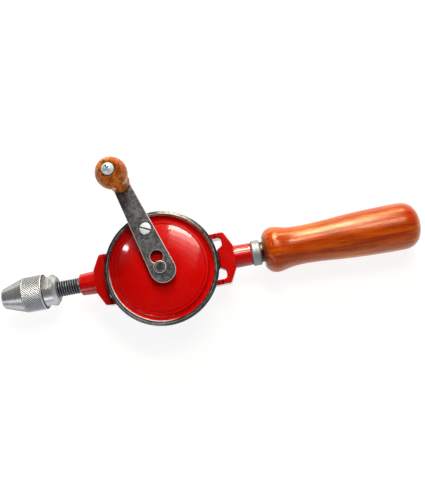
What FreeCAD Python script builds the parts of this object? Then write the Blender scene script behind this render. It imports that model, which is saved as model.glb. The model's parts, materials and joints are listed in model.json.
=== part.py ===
import FreeCAD, Part

import math
import os

from FreeCAD import Vector

# A double-pinion hand drill, lying on its back with the gear wheel on top. Millimetres.
# Every piece is drawn about the point where the spindle's axis crosses the wheel's axle:
# +X runs along the spindle to the handle, +Z along the axle to the crank. place() then moves
# the whole drill, so that the origin is the middle of its base.

# ---- small allowances ----
RUNNING = 0.05  # radial clearance of a running fit
END_PLAY = 0.1  # gap between the ends of two pieces, one of which turns
EDGE_BREAK = 0.5  # chamfer on a turned steel edge
CAST_BREAK = 0.6  # chamfer on the casting's turned ends
PAST = 1.0  # how far a cutting shape runs past what it cuts
LONG = 60.0  # longer than any cut has to be

# ---- along the spindle's axis (X) ----
NOSE_X = -120.2  # front face of the chuck
NOSE_TUBE_X = -62.0  # front face of the frame
NOSE_CONE_X = -53.0  # where the nose tube meets the frame's front block
REAR_TUBE_X = 65.0  # end of the frame's rear tube
FERRULE_END_X = 71.8
HANDLE_FRONT_X = 74.0
HANDLE_BEAD_X = 81.3
HANDLE_NECK_X = 99.5
HANDLE_SWELL_X = 133.0
HANDLE_FULL_X = 157.0
HANDLE_DOME_X = 174.0  # where the handle is thickest and its end starts to close
HANDLE_END_X = 188.3
DOME_POWER = 2.5  # 2 would be an ellipse; more makes the end flatter
DOME_STEP = 10  # degrees between the points of its curve

# ---- frame ----
FRONT_CORNER_X = 44.6  # corner where the wing starts to slope in
REAR_CORNER_X = 47.2
FRONT_ROOT_X = 50.1  # where the slope reaches the tube
REAR_ROOT_X = 52.6
WING_ROOT_Y = 8.3
RAIL_OUT_Y = 18.7
RAIL_IN_Y = 15.0
REAR_WINDOW_X = 44.9  # the rear window runs past its boss on both sides of it
BOSS_ROOT_Y = 9.0
BOSS_SIDE_Y = 6.8
BRIDGE_X = 14.0  # half the length of the cross bridge between the windows
BOSS_X = 41.0  # inner end of each bearing boss
BOSS_R = 7.0
BUSH_SET_BACK = 0.3  # how far each end of the spindle's bush stands back in its bore
RAIL_TOP_Z = 6.0
RAMP_X = 40.4  # where the rails start to rise to the block at each end
RAMP_LENGTH = 1.2
BLOCK_TOP_Z = 8.6
BLOCK_LOW_Z = -9.0
HANDLE_R = 17.1  # the handle's greatest radius
HANDLE_FRONT_R = 11.2
HANDLE_BEAD_R = 16.6
HANDLE_NECK_R = 14.2
HANDLE_SWELL_R = 15.9
BACK_Z = -HANDLE_R  # the frame's flat back lies level with the handle
BACK_X = 18.0  # half the length of the flat back
SLOPE_X = 43.0  # where the slope from the flat back meets the underside of the block at each end
NOSE_R = 8.0
NOSE_ROOT_R = 8.5
REAR_ROOT_R = 8.4
REAR_R = 8.2
CAST_ROUND = 1.0  # rounding of the casting's upper and lower edges
CORNER_ROUND = 2.0
WINDOW_ROUND = 3.2
REAR_WINDOW_ROUND = 2.6
BOSS_ROUND = 2.0

# ---- the handle's outline from its front to its thickest part: (X, radius) ----
HANDLE_TURNING = (
    (HANDLE_FRONT_X, HANDLE_FRONT_R),
    (75.4, 13.5),
    (78.2, 15.7),
    (HANDLE_BEAD_X, HANDLE_BEAD_R),
    (90.3, 15.2),
    (HANDLE_NECK_X, HANDLE_NECK_R),
    (HANDLE_SWELL_X, HANDLE_SWELL_R),
    (HANDLE_FULL_X, 16.95),
)

# ---- bevel gears: 90 degrees apart, meeting at the origin ----
WHEEL_TEETH = 50
PINION_TEETH = 14
WHEEL_PITCH_R = 38.0
PINION_PITCH_R = WHEEL_PITCH_R * PINION_TEETH / WHEEL_TEETH
MODULE = 2 * WHEEL_PITCH_R / WHEEL_TEETH
PRESSURE = math.radians(20.0)
BACKLASH = 0.12  # taken off each tooth's thickness
WHEEL_ADDENDUM = 0.75 * MODULE
PINION_ADDENDUM = 1.0 * MODULE
WHEEL_DEDENDUM = 1.2 * MODULE
PINION_DEDENDUM = 1.0 * MODULE
FACE_SHARE = 0.8  # inner end of a tooth, as a share of its outer distance from the origin
TOOTH_SEAT = 0.6  # how far a tooth is let into its blank
ROOT_PAST = 0.012  # how far a pinion's root cone runs past its teeth, as a share of its distance
CONE_LENGTH = math.hypot(WHEEL_PITCH_R, PINION_PITCH_R)
PITCH_COS = WHEEL_PITCH_R / CONE_LENGTH
PITCH_SIN = PINION_PITCH_R / CONE_LENGTH

# ---- gear wheel, heights above the spindle's axis ----
WHEEL_R = 41.0
RIM_TOP_Z = 17.5
RIM_FLAT_R = 39.0
RIM_IN_R = 37.4
RIM_LOW_Z = 14.6
GROOVE_Z = 14.9
RIDGE_OUT_R = 33.3
RIDGE_IN_R = 31.9
RIDGE_Z = 16.6
RIDGE_TOP_Z = 16.75
LINE_R = 31.5
LINE_DEPTH = 0.35
DOME_MID_R = 22.0
DOME_MID_Z = 18.75
HUB_R = 8.3
HUB_EDGE_R = 8.9
HUB_EDGE_Z = 19.7
HUB_TOP_Z = 20.2
WEB_LOW_Z = 13.2
WEB_LOW_R = 30.0  # where the underside starts to rise to the teeth
LUG_LOW_Z = 14.2
LUG_BORE_Z = 13.6
HUB_LOW_R = 10.0
HUB_LOW_Z = 6.8

# ---- the wheel's outline from its underside to the foot of its dome: (radius, Z) ----
RIM_BEVEL = 1.3  # height of the bevel at the rim's edge
WHEEL_FACE = (
    (WHEEL_R, RIM_LOW_Z),
    (WHEEL_R, RIM_TOP_Z - RIM_BEVEL),
    (RIM_FLAT_R, RIM_TOP_Z),
    (RIM_IN_R, RIM_TOP_Z),
    (37.25, 15.8),
    (36.4, 15.0),
    (35.0, GROOVE_Z),
    (34.0, 15.5),
    (RIDGE_OUT_R, RIDGE_Z),
    (RIDGE_IN_R, RIDGE_TOP_Z),
    (LINE_R, RIDGE_TOP_Z - LINE_DEPTH),
    (31.2, 16.9),
)

# ---- wheel's axle ----
AXLE_SEAT_R = 5.0
AXLE_R = 4.4
AXLE_NECK_R = 3.0
AXLE_LOW_Z = BACK_Z + 0.5
ARM_LOW_Z = 20.3
ARM_THICK = 4.0
ARM_TOP_Z = ARM_LOW_Z + ARM_THICK
AXLE_HEAD_Z = ARM_TOP_Z + 0.1
AXLE_HEAD_THICK = 1.5
AXLE_HEAD_BREAK = 0.4
AXLE_GROOVE = 0.5  # depth and width of the ring groove in the head
AXLE_SLOT_WIDTH = 0.9
AXLE_SLOT_DEPTH = 0.6
AXLE_SLOT_ANGLE = 80.0
WHEEL_WASHER_R = 9.0
WHEEL_BUSH_R = 5.3

# ---- crank ----
CRANK_THROW = 67.0
CRANK_ANGLE = 106.0  # from +X, in degrees
ARM_HUB_R = 9.1
ARM_HUB_BACK = 2.6  # the hub end's centre is this far past the axle
ARM_HUB_ACROSS = -0.9
ARM_TIP_R = 6.2
ARM_EDGE = 0.35
KEYHOLE_R = 4.7
KEYHOLE_ALONG = 7.7
KEYHOLE_ACROSS = -0.9
KEYHOLE_SLOT_R = 3.1
SCREW_ALONG = 29.0
SCREW_ACROSS = -2.3
SCREW_R = 2.5
SCREW_HEAD_R = 4.2
SCREW_SINK_R = 5.0
SCREW_SINK = 1.2
SCREW_HEAD_THICK = 2.3
SCREW_CROWN = 0.12  # how far the head's top falls away to its edge
SCREW_LOW_Z = 13.8
SCREW_SLOT_ANGLE = -25.0
SCREW_SLOT_WIDTH = 1.0
SCREW_SLOT_DEPTH = 1.1
SCREW_POINT = 0.6  # chamfer at the screw's lower end
LUG_R = 5.0

# ---- knob ----
KNOB_LOW_Z = ARM_TOP_Z + 0.9
KNOB_TOP_Z = 67.2
KNOB_BALL_Z = 55.2
KNOB_BALL_R = 10.8
KNOB_NECK_Z = 32.0
KNOB_NECK_R = 6.5
KNOB_BASE_R = 7.5
KNOB_TOP_R = 6.2
KNOB_PIN_R = 2.75
KNOB_HEAD_R = 4.2
KNOB_HEAD_TOP_Z = 70.0
KNOB_SINK = 0.9
KNOB_SINK_R = 4.95
KNOB_FOOT = 1.2  # height of the straight foot under the neck
KNOB_RISE = 11.5  # from the ball's underside curve up to its middle
KNOB_RISE_R = 8.8
KNOB_CROWN = 7.2  # from the ball's middle up to its shoulder
KNOB_CROWN_R = 9.1
PIN_SEAT = 0.15  # gap between the pin's head and the knob
PIN_EDGE = 1.1  # height of the pin head's straight edge
PIN_DOME_R = 0.65 * KNOB_HEAD_R  # a point on the head's dome
PIN_DOME_DROP = 0.75
CROSS_WIDTH = 1.0
CROSS_DEPTH = 1.6
CROSS_REACH = 2.3
CROSS_ANGLES = (30.0, 120.0)
WASHER_R = 6.0
WASHER_THICK = 0.7

# ---- spindle ----
THREAD_R = 5.9
THREAD_GAP = 0.3  # from each end of the screwed length to what it faces
THREAD_LEAD = 1.0  # chamfer at the front of the thread
JOURNAL_R = 5.0
SEAT_R = 4.5
TAIL_R = 3.8
PINION_BACK_X = 39.5  # distance of each pinion's back from the axle
DRIVE_HUB_X = 24.0
HUB_PIN_X = 27.0
HUB_PIN_R = 1.25
PINION_HUB_R = 6.5
HUB_PIN_HALF = 6.3  # half its length, just short of the hub's skin
BUSH_R = 6.2
BALL_R = 3.0
BALL_SINK = 2.1
BALL_PLAY = 0.05
THRUST_THICK = 1.2

# ---- idler and handle fixings ----
IDLER_AXLE_R = 4.0
IDLER_HUB_X = 27.8
IDLER_HEAD_R = 5.8
IDLER_HEAD_THICK = 2.2
IDLER_HEAD_BREAK = 1.2
IDLER_AXLE_END_X = 49.5
TANG_R = 4.0
TANG_START_X = 50.5
TANG_END_X = 150.0
TANG_POINT = 2.0
FERRULE_R = 9.2
FERRULE_IN_R = 7.6
FERRULE_ROUND = 1.4
FERRULE_WALL = 0.8  # thickness of the cap's end against the tube
TENON_R = 7.5
TENON_GAP = 1.1  # from the ferrule's front face to the tenon

# ---- chuck, distances back from its front face ----
CHUCK_FRONT_R = 7.4
CHUCK_LIP = 0.8  # bevel round the front face
CONE_LENGTH_X = 16.3
CONE_R = 12.7
SLEEVE_R = 13.0
SLEEVE_BORE_R = 11.6
SLEEVE_START = 16.4
SLEEVE_END = 31.5
BODY_R = SLEEVE_BORE_R - 0.06
COLLAR_R = 11.5
BODY_END = 41.0
FLANGE_THICK = 4.1
FLANGE_CHAMFER = 2.4
ACROSS_FLATS = 14.5
FLAT_ANGLE = 55.0  # of one flat's normal, from +Z towards +Y
SOCKET_R = 5.95
SOCKET_DEPTH = 11.0
MOUTH_R = 3.9
MOUTH_DEPTH = 3.6
SHANK_R = 3.3
SHANK_DEPTH = 25.0
DRILL_POINT = 2.0  # depth of the cone at the bottom of the shank's hole
NUT_START = 16.9
NUT_END = 20.7
NUT_GROOVE_R = 7.0
NUT_PLAY = 0.2
NUT_SPLIT = 0.4
JAW_COUNT = 3
JAW_R = 2.3
JAW_TILT = math.radians(16.0)
JAW_CENTRE = 0.25  # radius of a closed jaw's axis at the chuck's front face
JAW_LENGTH = 19.0
JAW_TRAVEL = 10.7
JAW_FIRST_ANGLE = 30.0  # from +Y towards +Z
JAW_GAP = 0.2
JAW_BORE_END = 29.6
JAW_THREAD_PITCH = 1.41
JAW_THREAD_DEPTH = 0.35
JAW_THREAD_START = 5.0  # distance of the first groove along the jaw's axis
JAW_THREAD_COUNT = 8
JAW_THREAD_RISE = 0.55  # the grooves are cut only above this, off the chuck's axis

# ---- the drill's extent, which sets the origin ----
KNOB_Y = CRANK_THROW * math.sin(math.radians(CRANK_ANGLE))
MIDDLE_X = (NOSE_X + HANDLE_END_X) / 2
MIDDLE_Y = (KNOB_Y + KNOB_BALL_R - WHEEL_R) / 2

X_AXIS = Vector(1, 0, 0)
Y_AXIS = Vector(0, 1, 0)
Z_AXIS = Vector(0, 0, 1)
ORIGIN = Vector(0, 0, 0)
JAW_WAY = Vector(math.cos(JAW_TILT), math.sin(JAW_TILT), 0)  # the way that the jaw at +Y opens
JAW_FOOT = Vector(NOSE_X, JAW_CENTRE, 0)


def rounded_wire(points, radii):
    """A closed wire through points, with each corner rounded by an arc of its own radius."""
    corners = []
    for i, corner in enumerate(points):
        to_last = (points[i - 1] - corner).normalize()
        to_next = (points[(i + 1) % len(points)] - corner).normalize()
        half = to_last.getAngle(to_next) / 2
        reach = radii[i] / math.tan(half)
        middle = (to_last + to_next).normalize()
        tip = corner + middle * (radii[i] / math.sin(half) - radii[i])
        corners.append((corner + to_last * reach, tip, corner + to_next * reach))
    edges = []
    for i, (begin, tip, end) in enumerate(corners):
        edges.append(Part.makeLine(corners[i - 1][2], begin))
        if radii[i] > 0:
            edges.append(Part.Arc(begin, tip, end).toShape())
    return Part.Wire(edges)


def lines_through(points):
    return [Part.makeLine(a, b) for a, b in zip(points, points[1:])]


def plan(points):
    """Points in the XY plane."""
    return [Vector(x, y, 0) for x, y in points]


def prism(wire, low, high):
    """A wire of the XY plane, extruded from one height to another."""
    solid = Part.Face(wire).extrude(Z_AXIS * (high - low))
    solid.translate(Z_AXIS * low)
    return solid


def revolve_edges(edges, axis):
    return Part.Face(Part.Wire(edges)).revolve(ORIGIN, axis, 360)


def turned_x(outline):
    """Turns an outline of (x, radius) points about the X axis."""
    points = [Vector(x, 0, r) for x, r in outline]
    return Part.Face(Part.makePolygon(points + points[:1])).revolve(ORIGIN, X_AXIS, 360)


def turned_z(outline):
    """Turns an outline of (radius, z) points about the Z axis."""
    points = [Vector(r, 0, z) for r, z in outline]
    return Part.Face(Part.makePolygon(points + points[:1])).revolve(ORIGIN, Z_AXIS, 360)


def rod_x(radius, start, end):
    return Part.makeCylinder(radius, end - start, Vector(start, 0, 0), X_AXIS)


def rod_z(radius, low, high, at=ORIGIN):
    return Part.makeCylinder(radius, high - low, Vector(at.x, at.y, low), Z_AXIS)


def tube_x(outer, inner, start, end):
    return rod_x(outer, start, end).cut(rod_x(inner, start, end))


def tube_z(outer, inner, low, high, at=ORIGIN):
    return rod_z(outer, low, high, at).cut(rod_z(inner, low, high, at))


def on_crank(along, across=0.0):
    """A point on the crank: along the arm from the axle, and across it to the left."""
    angle = math.radians(CRANK_ANGLE)
    return Vector(
        along * math.cos(angle) - across * math.sin(angle),
        along * math.sin(angle) + across * math.cos(angle),
        0,
    )


def screw_slot(at, top, width, depth, reach, angle):
    """The box that cuts a driver slot into a head with its top at the height top."""
    box = Part.makeBox(2 * reach, width, depth + PAST, Vector(-reach, -width / 2, top - depth))
    box.rotate(ORIGIN, Z_AXIS, angle)
    box.translate(Vector(at.x, at.y, 0))
    return box


# ---------------------------------------------------------------- frame and its fittings


def frame_plan():
    """The outline seen from above: two side rails, with wings that slope in to the tubes."""
    rear = [
        (REAR_CORNER_X, RAIL_OUT_Y),
        (REAR_ROOT_X, WING_ROOT_Y),
        (REAR_ROOT_X, -WING_ROOT_Y),
        (REAR_CORNER_X, -RAIL_OUT_Y),
    ]
    front = [
        (-FRONT_CORNER_X, -RAIL_OUT_Y),
        (-FRONT_ROOT_X, -WING_ROOT_Y),
        (-FRONT_ROOT_X, WING_ROOT_Y),
        (-FRONT_CORNER_X, RAIL_OUT_Y),
    ]
    radii = [CORNER_ROUND, 0, 0, CORNER_ROUND] * 2
    return rounded_wire(plan(rear + front), radii)


def frame_side():
    """The outline seen from the side, extruded across the frame."""
    def half(root_x):
        return [
            (RAMP_X, RAIL_TOP_Z),
            (RAMP_X + RAMP_LENGTH, BLOCK_TOP_Z),
            (root_x + PAST, BLOCK_TOP_Z),
            (root_x + PAST, BLOCK_LOW_Z),
            (SLOPE_X, BLOCK_LOW_Z),
            (BACK_X, BACK_Z),
        ]

    outline = half(REAR_ROOT_X) + [(-x, z) for x, z in reversed(half(FRONT_ROOT_X))]
    reach = RAIL_OUT_Y + PAST
    points = [Vector(x, -reach, z) for x, z in outline]
    return Part.Face(Part.makePolygon(points + points[:1])).extrude(Y_AXIS * 2 * reach)


def front_window():
    """The opening that holds the drive pinion, from the bridge to the front boss."""
    corners = [(-BRIDGE_X, -RAIL_IN_Y), (-BRIDGE_X, RAIL_IN_Y), (-BOSS_X, RAIL_IN_Y), (-BOSS_X, -RAIL_IN_Y)]
    return prism(rounded_wire(plan(corners), [WINDOW_ROUND] * 4), -LONG, LONG)


def rear_window():
    """The opening that holds the idler pinion, with the rear boss standing into it."""
    half = [
        (BRIDGE_X, RAIL_IN_Y),
        (REAR_WINDOW_X, RAIL_IN_Y),
        (REAR_WINDOW_X, BOSS_ROOT_Y),
        (BOSS_X, BOSS_SIDE_Y),
    ]
    corners = half + [(x, -y) for x, y in reversed(half)]
    half_radii = [WINDOW_ROUND, REAR_WINDOW_ROUND, BOSS_ROUND, BOSS_ROUND]
    return prism(rounded_wire(plan(corners), half_radii + half_radii[::-1]), -LONG, LONG)


def edges_at(shape, height):
    """Edges that lie flat at a height."""
    found = []
    for edge in shape.Edges:
        box = edge.BoundBox
        if abs(box.ZMin - height) < 0.01 and abs(box.ZMax - height) < 0.01:
            found.append(edge)
    return found


def main_frame():
    body = prism(frame_plan(), BACK_Z - PAST, BLOCK_TOP_Z + PAST).common(frame_side())
    body = body.cut(rear_window()).cut(front_window())
    underside = [edge for edge in body.Edges if edge.BoundBox.ZMax < BLOCK_LOW_Z + 0.1]
    body = body.makeFillet(CAST_ROUND, underside)
    body = body.makeFillet(CAST_ROUND, edges_at(body, BLOCK_TOP_Z))
    nose = turned_x([
        (-BOSS_X, 0),
        (-BOSS_X, BOSS_R - CAST_BREAK),
        (-BOSS_X - CAST_BREAK, BOSS_R),
        (-FRONT_CORNER_X, BOSS_R),
        (-FRONT_CORNER_X, NOSE_ROOT_R),
        (NOSE_CONE_X, NOSE_ROOT_R),
        (NOSE_TUBE_X + CAST_BREAK, NOSE_R),
        (NOSE_TUBE_X, NOSE_R - CAST_BREAK),
        (NOSE_TUBE_X, 0),
    ])
    rear = turned_x([
        (BOSS_X, 0),
        (BOSS_X, BOSS_R - CAST_BREAK),
        (BOSS_X + CAST_BREAK, BOSS_R),
        (REAR_CORNER_X, BOSS_R),
        (REAR_CORNER_X, REAR_ROOT_R),
        (REAR_ROOT_X, REAR_ROOT_R),
        (REAR_TUBE_X - CAST_BREAK, REAR_R),
        (REAR_TUBE_X, REAR_R - CAST_BREAK),
        (REAR_TUBE_X, 0),
    ])
    body = body.fuse([nose, rear]).removeSplitter()
    body = body.cut(rod_x(BUSH_R, NOSE_TUBE_X - PAST, -BOSS_X + PAST))
    body = body.cut(rod_x(IDLER_AXLE_R, BOSS_X - PAST, REAR_TUBE_X + PAST))
    body = body.cut(rod_z(AXLE_SEAT_R, BACK_Z - PAST, RAIL_TOP_Z + PAST))
    return body.cut(rod_x(BALL_R + BALL_PLAY, -BRIDGE_X - PAST, -BRIDGE_X + BALL_SINK))


def spindle_bush():
    return tube_x(BUSH_R, JOURNAL_R + RUNNING, NOSE_TUBE_X + BUSH_SET_BACK, -BOSS_X - BUSH_SET_BACK)


def thrust_ball():
    return Part.makeSphere(BALL_R, Vector(-BRIDGE_X + BALL_SINK - BALL_R - BALL_PLAY, 0, 0))


def washer_x(side, bore):
    """The thrust washer between a pinion's back and its boss."""
    start = PINION_BACK_X + END_PLAY
    ring = tube_x(BOSS_R, bore, start, start + THRUST_THICK)
    return ring if side > 0 else ring.mirror(ORIGIN, X_AXIS)


def wheel_axle():
    """The stud that the wheel turns on, with a neck for the crank's keyhole and a slotted head."""
    head_top = AXLE_HEAD_Z + AXLE_HEAD_THICK
    stud = turned_z([
        (0, AXLE_LOW_Z),
        (AXLE_SEAT_R - EDGE_BREAK, AXLE_LOW_Z),
        (AXLE_SEAT_R, AXLE_LOW_Z + EDGE_BREAK),
        (AXLE_SEAT_R, RAIL_TOP_Z),
        (AXLE_R, RAIL_TOP_Z),
        (AXLE_R, HUB_TOP_Z),
        (AXLE_NECK_R, HUB_TOP_Z),
        (AXLE_NECK_R, AXLE_HEAD_Z),
        (AXLE_R, AXLE_HEAD_Z),
        (AXLE_R, head_top - AXLE_HEAD_BREAK),
        (AXLE_R - AXLE_HEAD_BREAK, head_top),
        (AXLE_NECK_R + AXLE_GROOVE / 2, head_top),
        (AXLE_NECK_R, head_top - AXLE_GROOVE),
        (AXLE_NECK_R - AXLE_GROOVE / 2, head_top),
        (0, head_top),
    ])
    reach = AXLE_NECK_R - AXLE_GROOVE
    return stud.cut(screw_slot(ORIGIN, head_top, AXLE_SLOT_WIDTH, AXLE_SLOT_DEPTH, reach, AXLE_SLOT_ANGLE))


def wheel_washer():
    return tube_z(WHEEL_WASHER_R, AXLE_R + END_PLAY, RAIL_TOP_Z + RUNNING, HUB_LOW_Z - END_PLAY)


def idler_axle():
    head_start = IDLER_HUB_X - END_PLAY - IDLER_HEAD_THICK
    return turned_x([
        (head_start, 0),
        (head_start, IDLER_HEAD_R - IDLER_HEAD_BREAK),
        (head_start + IDLER_HEAD_BREAK, IDLER_HEAD_R),
        (IDLER_HUB_X - END_PLAY, IDLER_HEAD_R),
        (IDLER_HUB_X - END_PLAY, IDLER_AXLE_R),
        (IDLER_AXLE_END_X - EDGE_BREAK, IDLER_AXLE_R),
        (IDLER_AXLE_END_X, IDLER_AXLE_R - EDGE_BREAK),
        (IDLER_AXLE_END_X, 0),
    ])


def handle_tang():
    return turned_x([
        (TANG_START_X, 0),
        (TANG_START_X, TANG_R),
        (TANG_END_X - TANG_POINT, TANG_R),
        (TANG_END_X, TANG_R - TANG_POINT),
        (TANG_END_X, 0),
    ])


def ferrule():
    """The plated cap between the frame's tube and the handle, open towards the handle."""
    start = REAR_TUBE_X + END_PLAY
    ring = tube_x(FERRULE_R, FERRULE_IN_R, start, FERRULE_END_X)
    ring = ring.makeFillet(FERRULE_ROUND, outer_circles(ring, FERRULE_R))
    return ring.fuse(tube_x(FERRULE_IN_R, TANG_R + RUNNING, start, start + FERRULE_WALL)).removeSplitter()


def outer_circles(shape, radius):
    """The circular edges of one radius."""
    found = []
    for edge in shape.Edges:
        if isinstance(edge.Curve, Part.Circle) and abs(edge.Curve.Radius - radius) < 0.01:
            found.append(edge)
    return found


def handle():
    """The turned grip: a bead at the front, a neck for the fingers, a swell, and a domed end."""
    grip = list(HANDLE_TURNING)
    dome_length = HANDLE_END_X - HANDLE_DOME_X
    for degrees in range(0, 91, DOME_STEP):
        angle = math.radians(degrees)
        out = math.sin(angle) ** (2 / DOME_POWER)
        radius = max(0.0, math.cos(angle)) ** (2 / DOME_POWER)
        grip.append((HANDLE_DOME_X + dome_length * out, HANDLE_R * radius))
    grip[-1] = (HANDLE_END_X, 0)
    spline = Part.BSplineCurve()
    spline.interpolate([Vector(x, 0, r) for x, r in grip])
    tenon_x = REAR_TUBE_X + END_PLAY + TENON_GAP
    corners = [
        Vector(HANDLE_END_X, 0, 0),
        Vector(tenon_x, 0, 0),
        Vector(tenon_x, 0, TENON_R),
        Vector(HANDLE_FRONT_X, 0, TENON_R),
        Vector(HANDLE_FRONT_X, 0, HANDLE_FRONT_R),
    ]
    grip = revolve_edges([spline.toShape()] + lines_through(corners), X_AXIS)
    return grip.cut(rod_x(TANG_R + RUNNING, tenon_x - PAST, TANG_END_X + PAST))


# ---------------------------------------------------------------- gears


def tooth(section, angle, axis):
    """A straight bevel tooth: its outer section, drawn at the wheel's angle 0, shrunk towards the origin."""
    outer = Part.makePolygon(section + section[:1])
    inner = Part.makePolygon([p * FACE_SHARE for p in section + section[:1]])
    solid = Part.makeLoft([outer, inner], True, True)
    solid.rotate(ORIGIN, axis, angle)
    return solid


def pitch_point():
    """The outer end of the line along which wheel and idler pinion roll."""
    return Vector(WHEEL_PITCH_R, 0, PINION_PITCH_R)


def wheel_section():
    """Half widths follow the pressure angle, like a rack's tooth."""
    tip = Vector(PITCH_SIN, 0, -PITCH_COS)
    pitch_half = math.pi * MODULE / 4 - BACKLASH / 2
    levels = [WHEEL_ADDENDUM, -WHEEL_DEDENDUM - TOOTH_SEAT]
    halves = [pitch_half - level * math.tan(PRESSURE) for level in levels]
    right = [pitch_point() + tip * n + Y_AXIS * h for n, h in zip(levels, halves)]
    left = [pitch_point() + tip * n - Y_AXIS * h for n, h in zip(levels, halves)]
    return right + left[::-1]


def involute(angle):
    return math.tan(angle) - angle


def pinion_section():
    """Involute flanks on the pinion's back cone, with radial flanks below the base circle."""
    outward = Vector(-PITCH_SIN, 0, PITCH_COS)
    back_r = PINION_PITCH_R / PITCH_COS
    base_r = back_r * math.cos(PRESSURE)
    tip_r = back_r + PINION_ADDENDUM
    seat_r = back_r - PINION_DEDENDUM - TOOTH_SEAT
    centre = pitch_point() - outward * back_r
    pitch_half = (math.pi * MODULE / 4 - BACKLASH / 2) / back_r + involute(PRESSURE)
    steps = 4
    radii = [seat_r] + [base_r + (tip_r - base_r) * i / steps for i in range(steps + 1)]
    right, left = [], []
    for radius in radii:
        half = pitch_half - involute(math.acos(min(1.0, base_r / radius)))
        up = outward * (radius * math.cos(half))
        side = Y_AXIS * (radius * math.sin(half))
        right.append(centre + up + side)
        left.append(centre + up - side)
    return right + left[::-1]


def below_pitch(distance, toward_axis):
    """(x, z) of the point a distance off the pitch line, at the outer end of the teeth."""
    point = pitch_point()
    return point.x + toward_axis * distance * PITCH_SIN, point.z - toward_axis * distance * PITCH_COS


def gear_wheel():
    """A dished wheel with a bare rim, a groove inside it, a domed web and bevel teeth underneath."""
    root_r, root_z = below_pitch(WHEEL_DEDENDUM, -1)
    underside = [
        (HUB_LOW_R, HUB_LOW_Z),
        (HUB_LOW_R, WEB_LOW_Z),
        (WEB_LOW_R, WEB_LOW_Z),
        (root_r * FACE_SHARE, root_z * FACE_SHARE),
        (root_r, root_z),
    ]
    hub = [
        (HUB_EDGE_R, HUB_EDGE_Z),
        (HUB_R, HUB_TOP_Z),
        (WHEEL_BUSH_R, HUB_TOP_Z),
        (WHEEL_BUSH_R, HUB_LOW_Z),
        (HUB_LOW_R, HUB_LOW_Z),
    ]
    face = [Vector(r, 0, z) for r, z in underside + list(WHEEL_FACE)]
    inner = [Vector(r, 0, z) for r, z in hub]
    dome = Part.Arc(face[-1], Vector(DOME_MID_R, 0, DOME_MID_Z), inner[0])
    blank = revolve_edges(lines_through(face) + [dome.toShape()] + lines_through(inner), Z_AXIS)
    lug = on_crank(SCREW_ALONG, SCREW_ACROSS)
    blank = blank.fuse(rod_z(LUG_R, LUG_LOW_Z, HUB_TOP_Z, lug))
    blank = blank.cut(rod_z(SCREW_R, LUG_BORE_Z, HUB_TOP_Z + PAST, lug))
    section = wheel_section()
    teeth = [tooth(section, i * 360 / WHEEL_TEETH, Z_AXIS) for i in range(WHEEL_TEETH)]
    return blank.fuse(teeth)


def pinion(hub_x, bore_r):
    """A pinion at +X: toothed cone, small hub inwards to hub_x, plain back."""
    root_x, root_r = below_pitch(PINION_DEDENDUM, 1)
    inner_share = FACE_SHARE - ROOT_PAST
    inner_x, inner_r = root_x * inner_share, root_r * inner_share
    outer_x, outer_r = root_x * (1 + ROOT_PAST), root_r * (1 + ROOT_PAST)
    blank = turned_x([
        (hub_x, bore_r),
        (hub_x, PINION_HUB_R - EDGE_BREAK),
        (hub_x + EDGE_BREAK, PINION_HUB_R),
        (inner_x - EDGE_BREAK, PINION_HUB_R),
        (inner_x, inner_r),
        (outer_x, outer_r),
        (PINION_BACK_X, outer_r - EDGE_BREAK),
        (PINION_BACK_X, bore_r),
    ])
    section = pinion_section()
    step = 360 / PINION_TEETH
    teeth = [tooth(section, (i + 0.5) * step, X_AXIS) for i in range(PINION_TEETH)]
    return blank.fuse(teeth)


def drive_pinion():
    gear = pinion(DRIVE_HUB_X, SEAT_R).cut(hub_pin(1))
    gear.rotate(ORIGIN, Z_AXIS, 180)
    return gear


def hub_pin(side):
    """The cross pin through the drive pinion's hub and the spindle."""
    start = Vector(side * HUB_PIN_X, -HUB_PIN_HALF, 0)
    return Part.makeCylinder(HUB_PIN_R, 2 * HUB_PIN_HALF, start, Y_AXIS)


def wheel_bush():
    return tube_z(WHEEL_BUSH_R, AXLE_R + RUNNING, HUB_LOW_Z, HUB_TOP_Z - END_PLAY)


# ---------------------------------------------------------------- crank


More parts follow.
